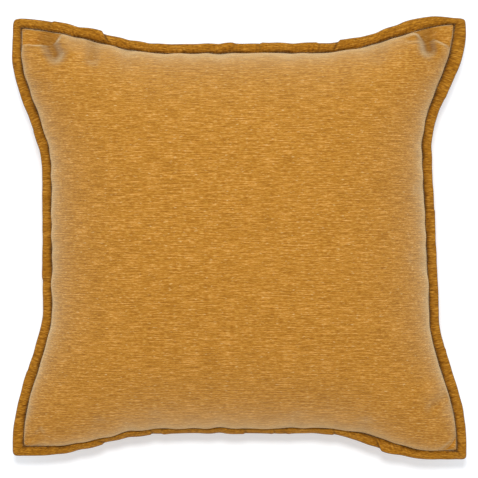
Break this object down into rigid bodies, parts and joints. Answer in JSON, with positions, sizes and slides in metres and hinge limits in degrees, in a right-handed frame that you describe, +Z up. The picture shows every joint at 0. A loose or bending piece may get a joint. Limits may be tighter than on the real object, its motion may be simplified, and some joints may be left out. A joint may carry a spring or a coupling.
{
  "type": "throw pillow",
  "caption": "Square throw pillow: chenille cover with a stitched flange and a back zip, around a removable fibre-filled insert.",
  "frame": {"origin": "under the middle of the pillow, on the surface that it lies on", "axes": "+Z up, out of the front face; +Y towards the front's top edge; +X towards the front's right edge, with the pillow lying on its back"},
  "size_m": [0.4806, 0.4686, 0.165],
  "materials": {
    "chenille": "mustard chenille with a soft pile and fine crosswise slubs",
    "cover_thread": "matte sewing thread, a shade darker than the cover",
    "label_satin": "blank woven satin label",
    "zip_tape": "woven mustard zip tape",
    "zip_nylon": "mustard nylon zip coil",
    "zip_brass": "antique brass, slightly worn",
    "insert_shell": "plain white non-woven shell",
    "insert_thread": "white sewing thread",
    "tag_paper": "blank non-woven tag",
    "insert_fibre": "loose white polyester fibre"
  },
  "bodies": {
    "pillow": {"cover_front_panel": "chenille", "cover_back_panel_upper": "chenille", "cover_back_panel_lower": "chenille", "flange_edge_seam_thread": "cover_thread", "topstitch_needle_thread": "cover_thread", "topstitch_bobbin_thread": "cover_thread", "care_label": "label_satin", "zip_tape_upper": "zip_tape", "zip_tape_lower": "zip_tape", "zip_teeth_upper": "zip_nylon", "zip_teeth_lower": "zip_nylon", "zip_top_stop_upper": "zip_brass", "zip_top_stop_lower": "zip_brass", "zip_bottom_stop": "zip_brass", "zip_stitching_upper": "cover_thread", "zip_stitching_lower": "cover_thread", "zip_end_tack_left": "cover_thread", "zip_end_tack_right": "cover_thread", "insert_front_panel": "insert_shell", "insert_back_panel": "insert_shell", "insert_seam_thread": "insert_thread", "insert_closing_thread": "insert_thread", "insert_tag": "tag_paper", "insert_fill": "insert_fibre"},
    "slider": {"zip_slider": "zip_brass"},
    "pull": {"zip_pull_tab": "zip_brass"}
  },
  "joints": [
    {"name": "zip_travel", "type": "slide", "parent": "pillow", "child": "slider", "axis": [-1, 0, 0], "range_m": [0, 0.3]},
    {"name": "pull_swing", "type": "hinge", "parent": "slider", "child": "pull", "pos_m": [0.1502, -0.1891, 0.04328], "axis": [0, -0.5739, 0.8189], "range_deg": [-85, 85]}
  ]
}
